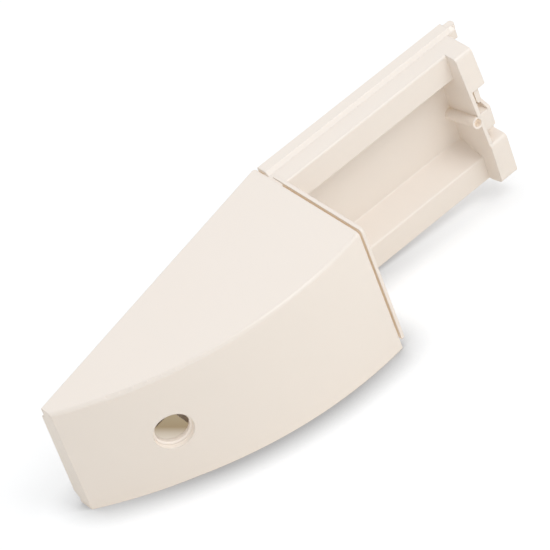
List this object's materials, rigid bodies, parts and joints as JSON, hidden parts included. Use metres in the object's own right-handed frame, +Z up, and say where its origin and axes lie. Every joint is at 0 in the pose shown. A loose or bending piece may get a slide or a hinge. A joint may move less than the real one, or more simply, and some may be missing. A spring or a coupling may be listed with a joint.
{
  "type": "lamp bracket",
  "caption": "Ivory moulded plastic lamp bracket: a curved hood, open below, with a stepped round hole, a panel groove, and an open channel ending in a notched end box with a screw boss.",
  "frame": {"origin": "centre of the screw boss's mouth", "axes": "+X along the part from the hood's tip to the end box, -Y the front, +Z up"},
  "size_m": [0.3042, 0.0895, 0.0861],
  "materials": {
    "ivory_plastic": "semi-gloss moulded, slightly translucent"
  },
  "bodies": {
    "root": {"lamp_bracket": "ivory_plastic"}
  },
  "joints": []
}
